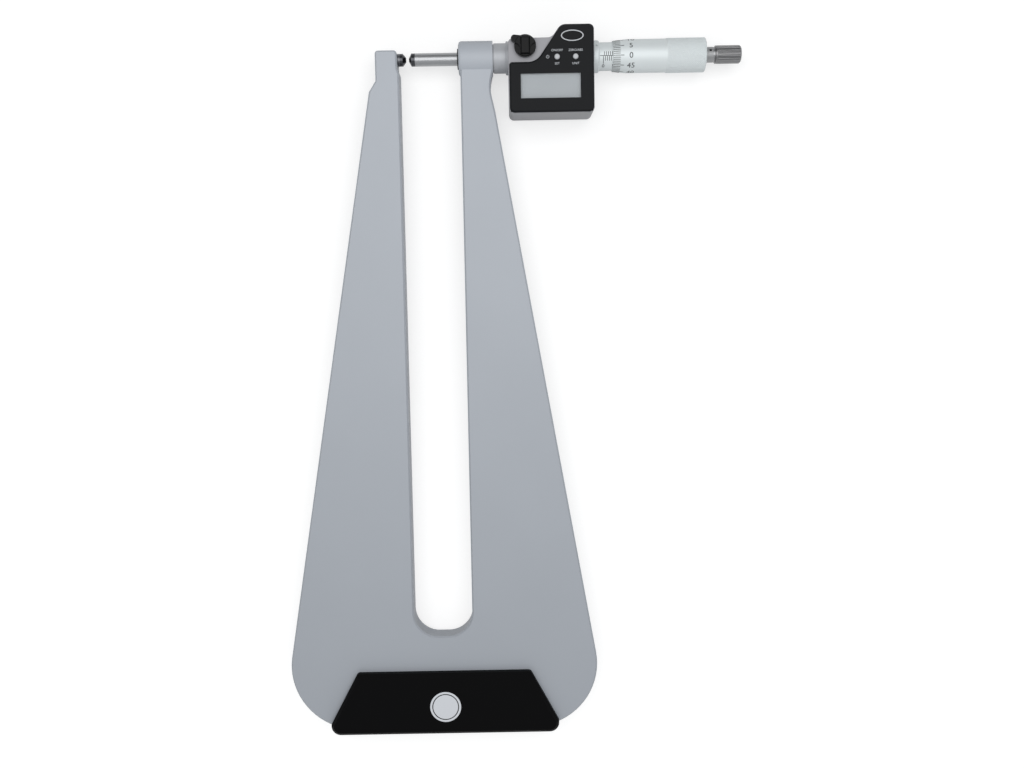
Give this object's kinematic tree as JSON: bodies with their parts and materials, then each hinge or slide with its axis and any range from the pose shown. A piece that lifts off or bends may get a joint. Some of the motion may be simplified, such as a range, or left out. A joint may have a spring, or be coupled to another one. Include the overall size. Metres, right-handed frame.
{
  "type": "digital sheet metal micrometer",
  "caption": "Deep-throat outside micrometer with a long slotted frame, digital display, ratchet thimble, spindle lock and black grip shells",
  "frame": {"origin": "centre of the anvil's measuring face", "axes": "+X along the measuring axis from anvil to thimble, +Y from the grip to the measuring head, +Z out of the display; it lies on its back"},
  "size_m": [0.2392, 0.3656, 0.029],
  "materials": {
    "frame_paint": "smooth light blue-grey paint",
    "steel": "ground steel",
    "carbide": "lapped dark carbide",
    "rubber": "black rubber",
    "satin_chrome": "satin chrome plate",
    "housing_grey": "fine-grained grey moulding",
    "bezel_black": "satin black moulding",
    "window": "clear",
    "display": "blank liquid-crystal panel",
    "board": "green solder mask",
    "switch_steel": "pressed dome",
    "rotor_brass": "machined brass",
    "cell_steel": "nickel-plated can",
    "cover_black": "satin black moulding",
    "button_grey": "light grey moulding",
    "knob_black": "glossy black moulding",
    "ratchet_grey": "matt light grey",
    "ratchet_dark": "fluted dark grey metal",
    "grip_black": "satin black moulding"
  },
  "bodies": {
    "frame": {"frame": "frame_paint", "anvil": "steel", "anvil_tip": "carbide", "spindle_wiper": "rubber", "stem": "steel", "barrel": "steel", "adjusting_nut": "steel", "neck_collar": "satin_chrome", "housing": "housing_grey", "bezel": "bezel_black", "display_window": "window", "display_panel": "display", "display_connectors": "rubber", "housing_gasket": "rubber", "circuit_board": "board", "button_switches": "switch_steel", "encoder_stator": "board", "battery": "cell_steel", "battery_contact": "rotor_brass", "housing_screws": "steel", "lock_shoe": "rotor_brass", "sleeve_ring": "satin_chrome", "grip_front": "grip_black", "grip_rear": "grip_black", "grip_screws": "steel"},
    "rotor": {"encoder_rotor": "rotor_brass", "rotor_key": "steel"},
    "spindle": {"spindle": "steel", "spindle_tip": "carbide", "thimble": "satin_chrome", "ratchet_body": "ratchet_grey", "ratchet_spring": "steel", "ratchet_screw": "steel"},
    "ratchet": {"ratchet_knob": "ratchet_dark"},
    "lock": {"lock_knob": "knob_black", "lock_shaft": "steel"},
    "set_button": {"set_button": "button_grey"},
    "unit_button": {"unit_button": "button_grey"},
    "sleeve": {"scale_sleeve": "satin_chrome"},
    "battery_lid": {"battery_cover": "cover_black", "battery_seal": "rubber"}
  },
  "joints": [
    {"name": "thimble_turn", "type": "hinge", "parent": "frame", "child": "rotor", "pos_m": [0.08, 0, 0], "axis": [1, 0, 0], "range_deg": [-1081, 16921]},
    {"name": "spindle_feed", "type": "slide", "parent": "rotor", "child": "spindle", "axis": [1, 0, 0], "range_m": [-0.0015, 0.0235]},
    {"name": "ratchet_turn", "type": "hinge", "parent": "spindle", "child": "ratchet", "pos_m": [0.16, 0, 0], "axis": [1, 0, 0], "continuous": true},
    {"name": "lock_turn", "type": "hinge", "parent": "frame", "child": "lock", "pos_m": [0.0603, 0.0028, 0.0131], "axis": [0, 0, 1], "range_deg": [-75, 0]},
    {"name": "set_press", "type": "slide", "parent": "frame", "child": "set_button", "axis": [0, 0, -1], "range_m": [0, 0.00045], "stiffness_N_per_m": 400, "springref_m": -0.0005},
    {"name": "unit_press", "type": "slide", "parent": "frame", "child": "unit_button", "axis": [0, 0, -1], "range_m": [0, 0.00045], "stiffness_N_per_m": 400, "springref_m": -0.0005},
    {"name": "sleeve_zero", "type": "hinge", "parent": "frame", "child": "sleeve", "pos_m": [0.11, 0, 0], "axis": [1, 0, 0], "range_deg": [-15, 15]},
    {"name": "battery_cover_turn", "type": "hinge", "parent": "frame", "child": "battery_lid", "pos_m": [0.0656, -0.0195, -0.0115], "axis": [0, 0, 1], "range_deg": [-60, 0]}
  ],
  "couplings": [
    {"joint": "thimble_turn", "follows": "spindle_feed", "rad_per_m": 12566}
  ]
}
